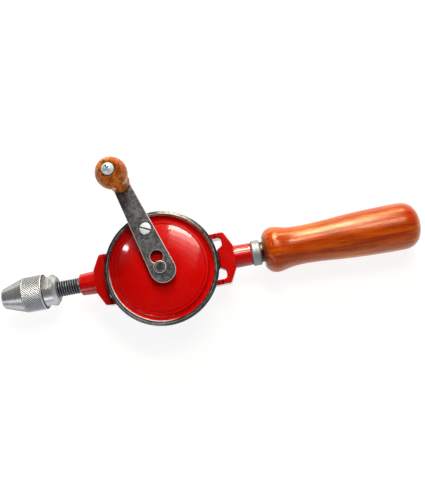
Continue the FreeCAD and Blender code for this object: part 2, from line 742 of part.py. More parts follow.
def crank_arm():
    """A tapering flat arm, with a keyhole at the axle and holes for its screw and the knob's pin."""
    hub = on_crank(-ARM_HUB_BACK, ARM_HUB_ACROSS)
    tip = on_crank(CRANK_THROW)
    lean = math.asin((ARM_HUB_R - ARM_TIP_R) / (tip - hub).Length)
    along = (tip - hub).normalize()
    across = Z_AXIS.cross(along)
    lean_left = along * math.sin(lean) + across * math.cos(lean)
    lean_right = along * math.sin(lean) - across * math.cos(lean)
    hub_left, hub_right = hub + lean_left * ARM_HUB_R, hub + lean_right * ARM_HUB_R
    tip_left, tip_right = tip + lean_left * ARM_TIP_R, tip + lean_right * ARM_TIP_R
    outline = Part.Wire([
        Part.makeLine(hub_right, tip_right),
        Part.Arc(tip_right, tip + along * ARM_TIP_R, tip_left).toShape(),
        Part.makeLine(tip_left, hub_left),
        Part.Arc(hub_left, hub - along * ARM_HUB_R, hub_right).toShape(),
    ])
    arm = prism(outline, ARM_LOW_Z, ARM_TOP_Z)
    screw = on_crank(SCREW_ALONG, SCREW_ACROSS)
    middle = on_crank(KEYHOLE_ALONG, KEYHOLE_ACROSS)
    slot = Part.makeBox(middle.Length, 2 * KEYHOLE_SLOT_R, LONG, Vector(0, -KEYHOLE_SLOT_R, 0))
    slot.rotate(ORIGIN, Z_AXIS, math.degrees(math.atan2(middle.y, middle.x)))
    keyhole = rod_z(KEYHOLE_R, 0, LONG, middle)
    keyhole = keyhole.fuse([slot, rod_z(KEYHOLE_SLOT_R, 0, LONG)]).removeSplitter()
    arm = arm.cut(keyhole)
    arm = arm.makeChamfer(ARM_EDGE, edges_at(arm, ARM_TOP_Z) + edges_at(arm, ARM_LOW_Z))
    arm = arm.cut(rod_z(SCREW_R + END_PLAY, 0, LONG, screw))
    arm = arm.cut(rod_z(SCREW_SINK_R, ARM_TOP_Z - SCREW_SINK, LONG, screw))
    return arm.cut(rod_z(KNOB_PIN_R, 0, LONG, tip))


def crank_screw():
    """A slotted cheese-head screw that ties the arm to the wheel."""
    low = ARM_TOP_Z - SCREW_SINK
    top = low + SCREW_HEAD_THICK
    screw = turned_z([
        (0, SCREW_LOW_Z),
        (SCREW_R - SCREW_POINT, SCREW_LOW_Z),
        (SCREW_R, SCREW_LOW_Z + SCREW_POINT),
        (SCREW_R, low),
        (SCREW_HEAD_R, low),
        (SCREW_HEAD_R, top - EDGE_BREAK),
        (SCREW_HEAD_R - EDGE_BREAK, top - SCREW_CROWN),
        (SCREW_HEAD_R / 2, top),
        (0, top),
    ])
    reach = SCREW_HEAD_R + PAST
    screw = screw.cut(screw_slot(ORIGIN, top, SCREW_SLOT_WIDTH, SCREW_SLOT_DEPTH, reach, SCREW_SLOT_ANGLE))
    screw.translate(on_crank(SCREW_ALONG, SCREW_ACROSS))
    return screw


def knob_pin():
    """The shouldered screw that the knob turns on: domed head with a cross recess."""
    head_low = KNOB_TOP_Z - KNOB_SINK + PIN_SEAT
    pin_low = ARM_LOW_Z + END_PLAY
    top = Vector(0, 0, KNOB_HEAD_TOP_Z)
    rim = Vector(KNOB_HEAD_R, 0, head_low + PIN_EDGE)
    dome = Part.Arc(top, Vector(PIN_DOME_R, 0, KNOB_HEAD_TOP_Z - PIN_DOME_DROP), rim)
    corners = [
        rim,
        Vector(KNOB_HEAD_R, 0, head_low),
        Vector(KNOB_PIN_R, 0, head_low),
        Vector(KNOB_PIN_R, 0, pin_low),
        Vector(0, 0, pin_low),
        top,
    ]
    pin = revolve_edges([dome.toShape()] + lines_through(corners), Z_AXIS)
    for angle in CROSS_ANGLES:
        pin = pin.cut(screw_slot(ORIGIN, KNOB_HEAD_TOP_Z, CROSS_WIDTH, CROSS_DEPTH, CROSS_REACH, angle))
    pin.translate(on_crank(CRANK_THROW))
    return pin


def knob_washer():
    low = ARM_TOP_Z + RUNNING
    return tube_z(WASHER_R, KNOB_PIN_R + END_PLAY, low, low + WASHER_THICK, on_crank(CRANK_THROW))


def crank_knob():
    """The turned knob: a small base, a neck and a ball, dished at the top for the pin's head."""
    turning = [
        Vector(KNOB_BASE_R, 0, KNOB_LOW_Z + KNOB_FOOT),
        Vector(KNOB_NECK_R, 0, KNOB_NECK_Z),
        Vector(KNOB_RISE_R, 0, KNOB_BALL_Z - KNOB_RISE),
        Vector(KNOB_BALL_R, 0, KNOB_BALL_Z),
        Vector(KNOB_CROWN_R, 0, KNOB_BALL_Z + KNOB_CROWN),
        Vector(KNOB_TOP_R, 0, KNOB_TOP_Z),
    ]
    spline = Part.BSplineCurve()
    spline.interpolate(turning)
    corners = [
        turning[-1],
        Vector(0, 0, KNOB_TOP_Z),
        Vector(0, 0, KNOB_LOW_Z),
        Vector(KNOB_BASE_R - EDGE_BREAK, 0, KNOB_LOW_Z),
        Vector(KNOB_BASE_R, 0, KNOB_LOW_Z + EDGE_BREAK),
        turning[0],
    ]
    knob = revolve_edges([spline.toShape()] + lines_through(corners), Z_AXIS)
    knob = knob.cut(rod_z(KNOB_PIN_R + RUNNING, 0, 2 * LONG))
    knob = knob.cut(rod_z(KNOB_SINK_R, KNOB_TOP_Z - KNOB_SINK, 2 * LONG))
    knob.translate(on_crank(CRANK_THROW))
    return knob


# ---------------------------------------------------------------- spindle and chuck


def spindle():
    """Screwed front end for the chuck, journal, pinion seat and a tail that bears on the ball."""
    thread_start = NOSE_X + BODY_END - SOCKET_DEPTH + THREAD_GAP
    thread_end = NOSE_TUBE_X - THREAD_GAP
    tail = -BRIDGE_X + BALL_SINK - 2 * BALL_R - 2 * BALL_PLAY
    shaft = turned_x([
        (thread_start, 0),
        (thread_start, THREAD_R - THREAD_LEAD),
        (thread_start + THREAD_LEAD, THREAD_R),
        (thread_end - EDGE_BREAK, THREAD_R),
        (thread_end, THREAD_R - EDGE_BREAK),
        (thread_end, JOURNAL_R),
        (-PINION_BACK_X, JOURNAL_R),
        (-PINION_BACK_X, SEAT_R),
        (-DRIVE_HUB_X, SEAT_R),
        (-DRIVE_HUB_X, TAIL_R),
        (tail - EDGE_BREAK, TAIL_R),
        (tail, TAIL_R - EDGE_BREAK),
        (tail, 0),
    ])
    return shaft.cut(hub_pin(-1))


def turned_about_x(shape, angle):
    """A copy of shape, turned about the X axis by an angle measured from +Y towards +Z."""
    copy = shape.copy()
    copy.rotate(ORIGIN, X_AXIS, angle)
    return copy


def jaw_bar(radius, start, end):
    """A bar along a closed jaw's axis, in the plane of +Y, between two distances along that axis."""
    return Part.makeCylinder(radius, end - start, JAW_FOOT + JAW_WAY * start, JAW_WAY)


def jaw_angles():
    return [JAW_FIRST_ANGLE + i * 360 / JAW_COUNT for i in range(JAW_COUNT)]


def jaw_thread():
    """Ring grooves about a closed jaw, where the nut's thread drives it."""
    core_r = JAW_R - JAW_THREAD_DEPTH
    grooves = []
    for i in range(JAW_THREAD_COUNT):
        start = JAW_THREAD_START + i * JAW_THREAD_PITCH
        end = start + JAW_THREAD_PITCH / 2
        grooves.append(jaw_bar(JAW_R + PAST, start, end).cut(jaw_bar(core_r, start, end)))
    return Part.makeCompound(grooves)


def jaw(angle):
    """A jaw in its fully open place: a slanted bar, cut to a 120 degree edge along the chuck's axis."""
    reach = 3 * CONE_R
    side = reach * math.tan(math.pi / JAW_COUNT)
    corners = [
        Vector(NOSE_X, JAW_GAP, 0),
        Vector(NOSE_X, JAW_GAP + reach, side),
        Vector(NOSE_X, JAW_GAP + reach, -side),
    ]
    sector = Part.Face(Part.makePolygon(corners + corners[:1])).extrude(X_AXIS * JAW_LENGTH)
    outer_side = Part.makeBox(LONG, LONG, LONG, Vector(NOSE_X, 0, -LONG / 2))
    outer_side.rotate(Vector(NOSE_X, 0, 0), Z_AXIS, math.degrees(JAW_TILT))
    outer_side.translate(Y_AXIS * JAW_THREAD_RISE)
    solid = jaw_bar(JAW_R, -LONG, LONG).common(sector)
    solid = solid.cut(jaw_thread().common(outer_side))
    solid.translate(JAW_WAY * JAW_TRAVEL)
    return turned_about_x(solid, angle)


def chuck_body():
    """Nose cone, slanted jaw bores, groove for the nut, rear collar with two spanner flats."""
    def at(distance):
        return NOSE_X + distance

    body = turned_x([
        (at(0), 0),
        (at(0), CHUCK_FRONT_R - CHUCK_LIP),
        (at(CHUCK_LIP), CHUCK_FRONT_R),
        (at(CONE_LENGTH_X), CONE_R),
        (at(CONE_LENGTH_X), BODY_R),
        (at(NUT_START - NUT_PLAY), BODY_R),
        (at(NUT_START - NUT_PLAY), NUT_GROOVE_R),
        (at(NUT_END + NUT_PLAY), NUT_GROOVE_R),
        (at(NUT_END + NUT_PLAY), BODY_R),
        (at(SLEEVE_END), BODY_R),
        (at(SLEEVE_END), COLLAR_R),
        (at(BODY_END - FLANGE_CHAMFER), COLLAR_R),
        (at(BODY_END), COLLAR_R - FLANGE_CHAMFER),
        (at(BODY_END), SOCKET_R),
        (at(BODY_END - SOCKET_DEPTH), SOCKET_R),
        (at(BODY_END - SOCKET_DEPTH), 0),
    ])
    flat_start = SLEEVE_END + END_PLAY
    flat_length = BODY_END - FLANGE_THICK - flat_start
    flat = Part.makeBox(flat_length, LONG, LONG, Vector(at(flat_start), -LONG / 2, ACROSS_FLATS / 2))
    for turn in (0, 180):
        cut = flat.copy()
        cut.rotate(ORIGIN, X_AXIS, turn - FLAT_ANGLE)
        body = body.cut(cut)
    shank = turned_x([
        (at(-PAST), 0),
        (at(-PAST), MOUTH_R + EDGE_BREAK),
        (at(0), MOUTH_R + EDGE_BREAK),
        (at(EDGE_BREAK), MOUTH_R),
        (at(MOUTH_DEPTH), MOUTH_R),
        (at(MOUTH_DEPTH), SHANK_R),
        (at(SHANK_DEPTH), SHANK_R),
        (at(SHANK_DEPTH + DRILL_POINT), 0),
    ])
    body = body.cut(shank)
    keep = rod_x(2 * CONE_R, at(-LONG), at(JAW_BORE_END))
    bore = jaw_bar(JAW_R + RUNNING, -LONG / 4, LONG).common(keep)
    for angle in jaw_angles():
        body = body.cut(turned_about_x(bore, angle))
    return body


def chuck_sleeve():
    start, end = NOSE_X + SLEEVE_START, NOSE_X + SLEEVE_END
    return turned_x([
        (start, SLEEVE_BORE_R),
        (start, SLEEVE_R - EDGE_BREAK),
        (start + EDGE_BREAK, SLEEVE_R),
        (end - EDGE_BREAK, SLEEVE_R),
        (end, SLEEVE_R - EDGE_BREAK),
        (end, SLEEVE_BORE_R),
    ])


def jaw_outer_r(distance):
    """The radius that an open or closed jaw reaches, at a distance back from the front face."""
    return JAW_CENTRE + distance * math.tan(JAW_TILT) + JAW_R / math.cos(JAW_TILT)


def chuck_nut():
    """The two halves of the ring nut, which the sleeve turns and the jaws climb."""
    ring = turned_x([
        (NOSE_X + NUT_START, jaw_outer_r(NUT_START) + NUT_PLAY),
        (NOSE_X + NUT_START, SLEEVE_BORE_R),
        (NOSE_X + NUT_END, SLEEVE_BORE_R),
        (NOSE_X + NUT_END, jaw_outer_r(NUT_END) + NUT_PLAY),
    ])
    gap = Part.makeBox(LONG, LONG, NUT_SPLIT, Vector(NOSE_X, -LONG / 2, -NUT_SPLIT / 2))
    return ring.cut(gap)


def place(shape):
    """Moves a piece from the crossing of the axes to the frame with its origin under the drill's middle."""
    shape.translate(Vector(-MIDDLE_X, -MIDDLE_Y, -BACK_Z))
    return shape


def pieces():
    """Every piece of the drill by name."""
    named = {
        "main_frame": main_frame(),
        "spindle_bush": spindle_bush(),
        "thrust_ball": thrust_ball(),
        "drive_washer": washer_x(-1, JOURNAL_R + END_PLAY),
        "idler_washer": washer_x(1, IDLER_AXLE_R + END_PLAY),
        "idler_axle": idler_axle(),
        "wheel_axle": wheel_axle(),
        "wheel_washer": wheel_washer(),
        "handle_tang": handle_tang(),
        "ferrule": ferrule(),
        "handle": handle(),
        "gear_wheel": gear_wheel(),
        "wheel_bush": wheel_bush(),
        "crank_arm": crank_arm(),
        "crank_screw": crank_screw(),
        "knob_pin": knob_pin(),
        "knob_washer": knob_washer(),
        "crank_knob": crank_knob(),
        "spindle": spindle(),
        "drive_pinion": drive_pinion(),
        "pinion_pin": hub_pin(-1),
        "idler_pinion": pinion(IDLER_HUB_X, IDLER_AXLE_R + RUNNING),
        "chuck_body": chuck_body(),
        "chuck_sleeve": chuck_sleeve(),
        "chuck_nut": chuck_nut(),
    }
    for number, angle in enumerate(jaw_angles(), start=1):
        named[f"jaw_{number}"] = jaw(angle)
    return named


os.makedirs("parts", exist_ok=True)
for node, shape in pieces().items():
    place(shape).exportStep(f"parts/{node}.step")
    print(node, len(shape.Solids), "valid" if shape.isValid() else "INVALID", round(shape.Volume, 1))
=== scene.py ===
import json
import math

import bpy
import numpy as np
from mathutils import Matrix, Vector


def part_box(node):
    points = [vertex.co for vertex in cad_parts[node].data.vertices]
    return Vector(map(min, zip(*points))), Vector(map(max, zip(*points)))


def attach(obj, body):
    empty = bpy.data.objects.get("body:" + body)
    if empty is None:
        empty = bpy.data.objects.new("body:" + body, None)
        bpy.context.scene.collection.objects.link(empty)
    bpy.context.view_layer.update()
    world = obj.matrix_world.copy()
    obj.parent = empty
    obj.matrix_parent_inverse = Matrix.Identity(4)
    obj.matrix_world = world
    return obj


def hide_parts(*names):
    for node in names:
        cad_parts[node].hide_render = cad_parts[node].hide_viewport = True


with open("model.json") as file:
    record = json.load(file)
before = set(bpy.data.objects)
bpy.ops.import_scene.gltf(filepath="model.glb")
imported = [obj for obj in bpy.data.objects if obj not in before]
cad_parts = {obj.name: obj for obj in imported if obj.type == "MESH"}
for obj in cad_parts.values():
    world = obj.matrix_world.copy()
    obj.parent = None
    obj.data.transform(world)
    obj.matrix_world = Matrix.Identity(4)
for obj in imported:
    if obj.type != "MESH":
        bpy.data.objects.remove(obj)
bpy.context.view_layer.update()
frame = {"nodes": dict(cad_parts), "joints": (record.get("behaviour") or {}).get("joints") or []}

# The hand drill lies on its back on a pale floor, seen from above. Metres, in the CAD frame:
# +X from the chuck to the handle, +Z along the wheel's axle to the crank.

MM = 0.001
NODES = frame["nodes"]
JOINTS = {joint["name"]: joint for joint in frame["joints"]}
AXLE = Vector(JOINTS["wheel_spin"]["pos_m"])  # where the wheel's axle crosses the spindle's axis

VARNISH_TINT = (1, 0.78, 0.48)  # oil varnish, yellowed with age
SHEEN_TINT = (1, 0.60, 0.20)
EDGE_TINT = (0.15, 0.15, 0.15)  # bright metals reflect less at a glancing angle
# near black, painted as shade on upright faces and on the floors of recesses
PAINTED_SHADE = (0.02, 0.02, 0.02)

# ---------------------------------------------------------------- node materials


class Shader:
    """A Principled material, with short calls that add nodes to it."""

    def __init__(self, name, **values):
        self.material = bpy.data.materials.new(name)
        self.material.use_nodes = True
        self.tree = self.material.node_tree
        self.surface = self.tree.nodes["Principled BSDF"]
        self.place = self.tree.nodes.new("ShaderNodeTexCoord").outputs["Object"]
        self.set(**values)

    def put(self, socket, value):
        if isinstance(value, bpy.types.NodeSocket):
            self.tree.links.new(value, socket)
        elif isinstance(value, tuple) and len(value) == 3 and socket.type == "RGBA":
            socket.default_value = (*value, 1)
        else:
            socket.default_value = value

    def set(self, **values):
        """Principled inputs by name, with underscores for spaces."""
        for name, value in values.items():
            self.put(self.surface.inputs[name.replace("_", " ")], value)

    def math(self, operation, a, b=0.0, c=0.0):
        node = self.tree.nodes.new("ShaderNodeMath")
        node.operation = operation
        for socket, value in zip(node.inputs, (a, b, c)):
            self.put(socket, value)
        return node.outputs[0]

    def vector(self, operation, a, b=(0, 0, 0)):
        node = self.tree.nodes.new("ShaderNodeVectorMath")
        node.operation = operation
        self.put(node.inputs[0], a)
        self.put(node.inputs[1], b)
        return node.outputs["Value"] if operation == "LENGTH" else node.outputs[0]

    def parts(self, vector):
        node = self.tree.nodes.new("ShaderNodeSeparateXYZ")
        self.put(node.inputs[0], vector)
        return node.outputs

    def joined(self, x, y, z):
        node = self.tree.nodes.new("ShaderNodeCombineXYZ")
        for socket, value in zip(node.inputs, (x, y, z)):
            self.put(socket, value)
        return node.outputs[0]

    def from_point(self, point, stretch=(1, 1, 1)):
        """Coordinates measured from a point, in metres, times a stretch."""
        return self.vector("MULTIPLY", self.vector("SUBTRACT", self.place, tuple(point)), stretch)

    def noise(self, scale, detail=3.0, roughness=0.55, at=None, distortion=0.0):
        node = self.tree.nodes.new("ShaderNodeTexNoise")
        self.put(node.inputs["Vector"], at or self.place)
        self.put(node.inputs["Scale"], scale)
        self.put(node.inputs["Detail"], detail)
        self.put(node.inputs["Roughness"], roughness)
        self.put(node.inputs["Distortion"], distortion)
        return node.outputs["Fac"]

    def span(self, value, low, high, out_low=0.0, out_high=1.0):
        """value, mapped from one range to another and clamped."""
        node = self.tree.nodes.new("ShaderNodeMapRange")
        for socket, number in zip(node.inputs, (value, low, high, out_low, out_high)):
            self.put(socket, number)
        return node.outputs[0]

    def step(self, value, edge, width):
        """0 below the edge, 1 above it, over a soft width."""
        node = self.tree.nodes.new("ShaderNodeMapRange")
        node.interpolation_type = "SMOOTHSTEP"
        for socket, number in zip(node.inputs, (value, edge - width / 2, edge + width / 2, 0.0, 1.0)):
            self.put(socket, number)
        return node.outputs[0]

    def below(self, value, edge, width):
        """1 below the edge, 0 above it, over a soft width."""
        return self.step(self.math("MULTIPLY", value, -1), -edge, width)

    def mix(self, factor, a, b):
        """The colour a where factor is 0, and b where it is 1."""
        node = self.tree.nodes.new("ShaderNodeMix")
        node.data_type = "RGBA"
        self.put(node.inputs["Factor"], factor)
        self.put(node.inputs["A"], a)
        self.put(node.inputs["B"], b)
        return node.outputs["Result"]

    def blend(self, factor, a, b):
        """mix() for plain numbers."""
        node = self.tree.nodes.new("ShaderNodeMix")
        self.put(node.inputs["Factor"], factor)
        self.put(node.inputs["A"], a)
        self.put(node.inputs["B"], b)
        return node.outputs["Result"]

    def bump(self, height, distance):
        """Raises the surface by height times distance, on top of any earlier bump."""
        node = self.tree.nodes.new("ShaderNodeBump")
        self.put(node.inputs["Height"], height)
        self.put(node.inputs["Distance"], distance)
        self.put(node.inputs["Strength"], 1.0)
        normal = self.surface.inputs["Normal"]
        if normal.is_linked:
            self.put(node.inputs["Normal"], normal.links[0].from_socket)
        self.put(normal, node.outputs[0])
        if self.surface.inputs["Coat Weight"].default_value > 0:
            self.put(self.surface.inputs["Coat Normal"], node.outputs[0])

    def normal_z(self):
        return self.parts(self.tree.nodes.new("ShaderNodeNewGeometry").outputs["Normal"])["Z"]

    def levelness(self):
        """1 on a level face, 0 on an upright wall."""
        return self.math("ABSOLUTE", self.normal_z())


def paint(name, deep, bright, lumps):
    """Thick gloss enamel on a casting, with painted shade on faces that are upright, and fine orange peel.
    """
    shader = Shader(name, Coat_Weight=0.8, Coat_Roughness=0.04, Specular_IOR_Level=0.12)
    # painted shade: upright faces are darkened to 0.4 of the deep red
    wall = shader.below(shader.levelness(), 0.42, 0.5)
    colour = shader.mix(shader.noise(45, 3), deep, bright)
    dark = tuple(0.4 * c for c in deep)
    shader.set(Base_Color=shader.mix(wall, colour, dark))
    shader.set(Roughness=shader.span(shader.noise(160, 4), 0.3, 0.7, 0.22, 0.36))
    shader.bump(shader.noise(90, 2), lumps)
    shader.bump(shader.noise(700, 2), 0.00002)
    return shader


def wheel_paint():
    """Red enamel on the wheel's face and web; its rim and teeth are bare, handled steel."""
    bare_from = 37.7 * MM  # radius of the edge between the enamel and the bare rim
    worn_highlight_at = 39.0 * MM  # radius of the rim's outer corner
    painted_highlight_at = 37.55 * MM  # radius of a painted highlight: a bright line on the lip inside the rim
    painted_highlight_side = -36 * MM  # the painted highlight lies where x + y is less than this
    teeth_from, teeth_below = 28.5 * MM, 13.3 * MM

    shader = paint("wheel_enamel", (0.48, 0.0006, 0.0002), (0.68, 0.0014, 0.0004), 0.00001)
    x, y, z = shader.parts(shader.from_point(AXLE))
    radius = shader.math("SQRT", shader.math("MULTIPLY_ADD", x, x, shader.math("MULTIPLY", y, y)))
    ragged = shader.math("ADD", radius, shader.span(shader.noise(420, 3), 0, 1, -0.25 * MM, 0.25 * MM))

    rim = shader.step(ragged, bare_from, 0.2 * MM)
    low_down = shader.below(z, teeth_below, 0.4 * MM)
    teeth = shader.math("MULTIPLY", shader.step(radius, teeth_from, 0.3 * MM), low_down)
    bare = shader.math("MAXIMUM", rim, teeth)

    turn = shader.math("ARCTAN2", y, x)
    around = shader.joined(shader.math("MULTIPLY", radius, 5000), shader.math("MULTIPLY", turn, 6), 0)
    scratch = shader.noise(1, 5, 0.7, at=around)
    blotch = shader.noise(420, 5, 0.65)
    grey = shader.mix(shader.span(blotch, 0.35, 0.68), (0.030, 0.030, 0.032), (0.17, 0.17, 0.175))
    grey = shader.mix(shader.span(scratch, 0.52, 0.75, 0, 0.7), grey, (0.38, 0.38, 0.39))

    # painted highlight along the rim's outer corner, lighter grey like worn bare metal
    off_corner = shader.math("ABSOLUTE", shader.math("SUBTRACT", radius, worn_highlight_at))
    worn_corner_highlight = shader.math("MULTIPLY", shader.below(off_corner, 0.22 * MM, 0.2 * MM), rim)
    worn_corner_highlight = shader.math("MULTIPLY", worn_corner_highlight, shader.span(shader.noise(120, 4), 0.35, 0.55, 0.25, 1.0))

    # painted highlight: a near-white line on the lip, at the lower left of the wheel
    off_painted_highlight = shader.math("ABSOLUTE", shader.math("SUBTRACT", ragged, painted_highlight_at))
    side = shader.below(shader.math("ADD", x, y), painted_highlight_side, 16 * MM)
    painted_highlight = shader.math("MULTIPLY", shader.below(off_painted_highlight, 0.30 * MM, 0.15 * MM), side)

    red = shader.surface.inputs["Base Color"].links[0].from_socket
    rough = shader.surface.inputs["Roughness"].links[0].from_socket
    colour = shader.mix(bare, red, grey)
    # the corner's painted highlight, a lighter grey
    colour = shader.mix(worn_corner_highlight, colour, (0.42, 0.42, 0.43))
    # the painted highlight on the lip, near white
    colour = shader.mix(painted_highlight, colour, (0.95, 0.95, 0.95))
    # the painted highlights, partly wear, are made less metallic
    wear_and_painted_highlights = shader.math("MULTIPLY", shader.math("MAXIMUM", worn_corner_highlight, painted_highlight), 0.6)
    shader.set(
        Base_Color=colour,
        Metallic=shader.math("SUBTRACT", bare, wear_and_painted_highlights),
        Roughness=shader.blend(bare, rough, shader.span(blotch, 0.3, 0.7, 0.24, 0.42)),
        Coat_Weight=shader.math("MULTIPLY", shader.math("SUBTRACT", 1.0, bare), 0.75),
    )
    return shader


def dark_steel(name, low, high):
    """Oil-blacked flat steel: blotchy, with a painted highlight on sloping faces and painted shade on
    upright ones.
    """
    shader = Shader(name, Metallic=0.45)
    blotch = shader.noise(420, 6, 0.68, distortion=0.4)
    patch = shader.noise(90, 3)
    deep, pale = (low, 1.04 * low, 1.12 * low), (high, 1.06 * high, 1.18 * high)
    grey = shader.mix(shader.span(blotch, 0.34, 0.66), deep, pale)
    grey = shader.mix(shader.span(patch, 0.35, 0.7, 0, 0.5), grey, (0.05, 0.05, 0.052))
    level = shader.levelness()
    # painted highlight: sloping faces are lightened to a pale pinkish grey
    edge = shader.math("MULTIPLY", shader.step(level, 0.45, 0.2), shader.below(level, 0.93, 0.05))
    # painted shade: upright faces are darkened
    grey = shader.mix(shader.below(level, 0.30, 0.2), grey, PAINTED_SHADE)
    shader.set(
        Base_Color=shader.mix(edge, grey, (0.82, 0.78, 0.78)),
        Roughness=shader.span(blotch, 0.3, 0.7, 0.30, 0.52),
    )
    shader.bump(blotch, 0.00003)
    return shader


def bright_metal(name, colour, smooth, rough, metal, grain=600, depth=0.00001, floor_below=None):
    """Plated or polished metal with faint cloudiness; level faces below a height, as in recesses, get
    painted shade.
    """
    shader = Shader(name, Metallic=metal, Specular_Tint=EDGE_TINT)
    cloud = shader.noise(220, 4)
    tone = shader.mix(cloud, tuple(0.82 * c for c in colour), colour)
    if floor_below is not None:
        # painted shade on level faces low in a recess, such as the floor of a screw's slot
        z = shader.parts(shader.place)["Z"]
        sunk = shader.below(z, floor_below, 0.2 * MM)
        level = shader.step(shader.normal_z(), 0.95, 0.02)
        tone = shader.mix(shader.math("MULTIPLY", sunk, level), tone, PAINTED_SHADE)
    shader.set(Base_Color=tone, Roughness=shader.span(cloud, 0.3, 0.7, smooth, rough))
    shader.bump(shader.noise(grain, 4, 0.7), depth)
    return shader


def turned_metal(name, dark, light, smooth, rough, metal=1.0, valley=None):
    """Metal turned on a lathe about the spindle's axis, with painted shade between a valley's two radii."""
    shader = Shader(name, Metallic=metal, Specular_Tint=EDGE_TINT)
    x, y, z = shader.parts(shader.from_point(AXLE))
    lines, across = 2600, 40  # cutting marks are close together along the axis and long across it
    ring = shader.joined(*(shader.math("MULTIPLY", a, n) for a, n in ((x, lines), (y, across), (z, across))))
    rings = shader.noise(1, 3, 0.6, at=ring)
    cloud = shader.noise(180, 3)
    tone = shader.mix(shader.math("MULTIPLY", shader.math("ADD", rings, cloud), 0.5), dark, light)
    if valley:
        # painted shade in the grooves, down to 0.12 of the dark tone
        radius = shader.vector("LENGTH", shader.joined(0.0, y, z))
        tone = shader.mix(shader.span(radius, *valley), tuple(0.12 * c for c in dark), tone)
    shader.set(Base_Color=tone, Roughness=shader.span(rings, 0.3, 0.7, smooth, rough))
    shader.bump(rings, 0.000002)
    return shader


def varnished_wood(name, axis, origin, tones, gloss, scale=1.0, painted_shade_end=None):
    """Turned wood under oil varnish: streaks along the grain, slow bands, patches and fine pores."""
    dark, middle, light = tones
    shader = Shader(name, Coat_Weight=0.1, Coat_Roughness=0.08)
    shader.set(Specular_IOR_Level=gloss, Specular_Tint=VARNISH_TINT)
    shader.set(Sheen_Weight=0.7 * gloss, Sheen_Roughness=0.35, Sheen_Tint=SHEEN_TINT)
    stretch = [70.0 * scale] * 3
    stretch[axis] = 5.0 * scale
    grain = shader.from_point(origin, tuple(stretch))
    band = shader.noise(1, 3, 0.5, at=grain, distortion=0.6)
    streak = shader.noise(5, 6, 0.66, at=grain, distortion=0.3)
    pore = shader.noise(20, 4, 0.75, at=grain)
    patch = shader.noise(55, 3, 0.6)
    colour = shader.mix(shader.span(band, 0.36, 0.64), middle, light)
    colour = shader.mix(shader.span(patch, 0.48, 0.66, 0.0, 0.45), colour, middle)
    colour = shader.mix(shader.span(streak, 0.42, 0.66, 0.0, 0.9), colour, dark)
    colour = shader.mix(shader.span(pore, 0.56, 0.70, 0.0, 0.75), colour, tuple(0.3 * c for c in dark))
    # painted shade: the end of the wood by the ferrule is darkened
    if painted_shade_end:
        along = shader.parts(shader.from_point(origin))[axis]
        colour = shader.mix(shader.span(along, *painted_shade_end), tuple(0.25 * c for c in dark), colour)
    shader.set(Base_Color=colour, Roughness=shader.span(streak, 0.3, 0.7, 0.14, 0.30))
    shader.bump(pore, 0.00005)
    shader.bump(shader.noise(420, 4, 0.7), 0.00012)
    shader.bump(streak, 0.00004)
    shader.bump(shader.noise(60, 2), 0.00015)
    return shader


def floor_paint():
    """A pale sheet, lit through from behind so that shadows on it stay faint."""
    shader = Shader("pale_floor", Roughness=0.9, Specular_IOR_Level=0.1)
    shader.set(Emission_Color=(1, 1, 1, 1), Emission_Strength=0.87)
    shader.set(Base_Color=shader.mix(shader.noise(3, 2), (0.21, 0.21, 0.21), (0.23, 0.23, 0.23)))
    return shader


# ---------------------------------------------------------------- meshes made here

SLEEVE_BORE = 11.6 * MM
KNURL_RIDGES = 44
KNURL_DEPTH = 0.42 * MM
THREAD_PITCH = 1.75 * MM
THREAD_DEPTH = 1.0 * MM


def mesh_object(name, vertices, faces, smooth=True):
    mesh = bpy.data.meshes.new(name)
    mesh.from_pydata([tuple(v) for v in vertices], [], faces)
    mesh.validate()
    mesh.update()
    piece = bpy.data.objects.new(name, mesh)
    bpy.context.scene.collection.objects.link(piece)
    for polygon in mesh.polygons:
        polygon.use_smooth = smooth
    return piece


def rings_about_spindle(name, rings, around, closed):
    """A skin through rings about the spindle's axis, each given as (x, radius at each of the angles)."""
    turn = np.linspace(0, 2 * math.pi, around, endpoint=False)
    vertices = []
    for x, radius in rings:
        radii = np.broadcast_to(radius, around)
        vertices += [(x, AXLE.y + r * math.cos(t), AXLE.z + r * math.sin(t)) for r, t in zip(radii, turn)]
    faces = []
    count = len(rings)
    for i in range(count if closed else count - 1):
        here, there = i * around, ((i + 1) % count) * around
        for j in range(around):
            k = (j + 1) % around
            faces.append((here + j, here + k, there + k, there + j))
    if not closed:
        faces.append(tuple(range(around))[::-1])
        faces.append(tuple(range((count - 1) * around, count * around)))
    return mesh_object(name, vertices, faces)


def saw(phase):
    """A triangle wave: 1 at whole numbers, 0 half way between them."""
    return np.abs(2 * (phase - np.floor(phase)) - 1)


def knurled_sleeve():
    """The sleeve, with a diamond knurl cut between two plain bands."""
    low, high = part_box("chuck_sleeve")
    outer = (high.y - low.y) / 2
    lean = math.radians(48)
    around = KNURL_RIDGES * 9
    turn = np.linspace(0, 2 * math.pi, around, endpoint=False)
    band_start, band_end = low.x + 0.5 * MM, high.x - 0.9 * MM
    rings = [(low.x, SLEEVE_BORE), (low.x, outer - 0.55 * MM), (low.x + 0.25 * MM, outer - 0.2 * MM)]
    rows, run_out = 84, 3
    for i in range(rows + 1):
        x = band_start + (band_end - band_start) * i / rows
        advance = x * math.tan(lean) / outer * KNURL_RIDGES / (2 * math.pi)
        left = saw(turn * KNURL_RIDGES / (2 * math.pi) + advance)
        right = saw(turn * KNURL_RIDGES / (2 * math.pi) - advance)
        cut = 1 - np.minimum(right, 0.75 + 0.25 * left)  # the other way is cut less deep
        fade = min(1.0, i / run_out, (rows - i) / run_out)
        rings.append((x, outer - KNURL_DEPTH * fade * cut - 0.03 * MM))
    rings += [(high.x - 0.75 * MM, outer - 0.05 * MM), (high.x - 0.55 * MM, outer - 0.05 * MM)]
    rings += [(high.x, outer - 0.6 * MM), (high.x, SLEEVE_BORE)]
    return rings_about_spindle("knurled_sleeve", rings, around, closed=True)


